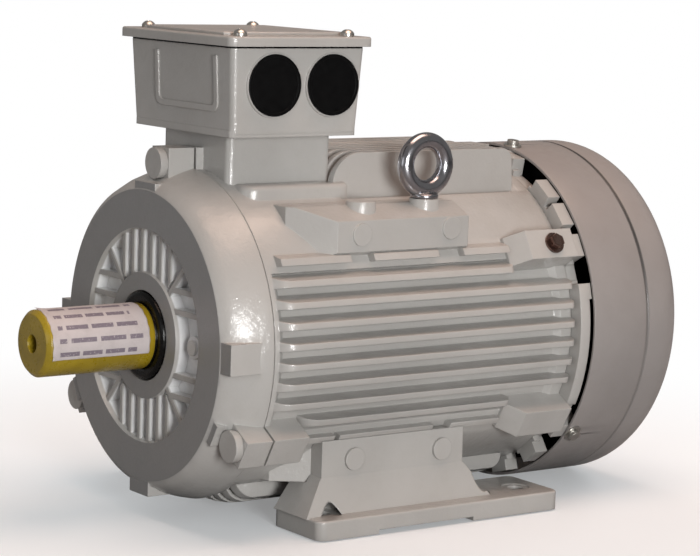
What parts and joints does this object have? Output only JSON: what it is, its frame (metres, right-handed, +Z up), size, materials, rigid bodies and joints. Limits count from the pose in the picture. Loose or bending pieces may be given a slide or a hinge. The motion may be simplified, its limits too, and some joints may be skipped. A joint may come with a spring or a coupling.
{
  "type": "electric motor",
  "caption": "Foot-mounted squirrel-cage induction motor with ribbed cast frame, top terminal box, lifting eye, fan cowl and a sleeved keyed shaft.",
  "frame": {"origin": "on the shaft axis at the shaft shoulder plane; the foot undersides lie 132 mm below it", "axes": "shaft axis along Y with the drive end towards -Y, +Z up towards the terminal box, cable entries on +X"},
  "size_m": [0.268, 0.503, 0.3572],
  "materials": {
    "body_enamel": "semi-gloss enamel over cast iron texture",
    "cowl_enamel": "satin enamel on sheet steel",
    "zinc_steel": "zinc plated",
    "chrome_steel": "bright plated forging",
    "black_rubber": "moulded rubber",
    "black_plastic": "satin moulded plastic",
    "insulator": "moulded thermoset",
    "brass": "drawn",
    "copper": "copper coloured",
    "plate_metal": "brushed blank plate",
    "core_steel": "laminated steel",
    "cage_aluminium": "die cast",
    "machined_steel": "turned and ground",
    "sleeve_plastic": "moulded polyethylene",
    "paper": "plain paper label, no lettering"
  },
  "bodies": {
    "stator": {"stator_frame": "body_enamel", "de_end_shield": "body_enamel", "nde_end_shield": "body_enamel", "foot_right": "body_enamel", "foot_left": "body_enamel", "de_shield_bolts": "body_enamel", "foot_bolts": "body_enamel", "terminal_box_base": "body_enamel", "terminal_box_lid": "body_enamel", "fan_cowl": "cowl_enamel", "nde_shield_bolts": "zinc_steel", "box_base_screws": "zinc_steel", "lid_screws": "zinc_steel", "cowl_screws": "zinc_steel", "cowl_washers": "zinc_steel", "plate_rivets": "zinc_steel", "terminal_nuts": "zinc_steel", "preload_spring": "zinc_steel", "lifting_eyebolt": "chrome_steel", "base_gasket": "black_rubber", "lid_gasket": "black_rubber", "cable_entry_plugs": "black_plastic", "terminal_block": "insulator", "terminal_studs": "brass", "terminal_links": "brass", "earth_screw": "copper", "earth_washer": "copper", "stator_windings": "copper", "rating_plate": "plate_metal", "stator_core": "core_steel", "de_bearing_outer_ring": "machined_steel", "de_bearing_shields": "machined_steel", "nde_bearing_outer_ring": "machined_steel", "nde_bearing_shields": "machined_steel"},
    "rotor": {"shaft": "machined_steel", "shaft_key": "machined_steel", "rotor_core": "core_steel", "rotor_cage": "cage_aluminium", "de_bearing_inner_ring": "machined_steel", "nde_bearing_inner_ring": "machined_steel", "de_shaft_seal": "black_rubber", "nde_shaft_seal": "black_rubber", "cooling_fan": "black_plastic", "fan_circlip": "zinc_steel"},
    "de_cage": {"de_bearing_cage": "brass", "de_bearing_balls": "machined_steel"},
    "nde_cage": {"nde_bearing_cage": "brass", "nde_bearing_balls": "machined_steel"},
    "sleeve": {"shaft_sleeve": "sleeve_plastic", "sleeve_label": "paper"}
  },
  "joints": [
    {"name": "rotor_spin", "type": "hinge", "parent": "stator", "child": "rotor", "pos_m": [0, 0, 0], "axis": [0, 1, 0], "continuous": true},
    {"name": "de_cage_orbit", "type": "hinge", "parent": "stator", "child": "de_cage", "pos_m": [0, 0.0275, 0], "axis": [0, 1, 0], "continuous": true},
    {"name": "nde_cage_orbit", "type": "hinge", "parent": "stator", "child": "nde_cage", "pos_m": [0, 0.3035, 0], "axis": [0, 1, 0], "continuous": true},
    {"name": "sleeve_pull", "type": "slide", "parent": "rotor", "child": "sleeve", "axis": [0, -1, 0], "range_m": [0, 0.11]}
  ],
  "couplings": [
    {"joint": "de_cage_orbit", "follows": "rotor_spin", "ratio": 0.385},
    {"joint": "nde_cage_orbit", "follows": "rotor_spin", "ratio": 0.379}
  ]
}
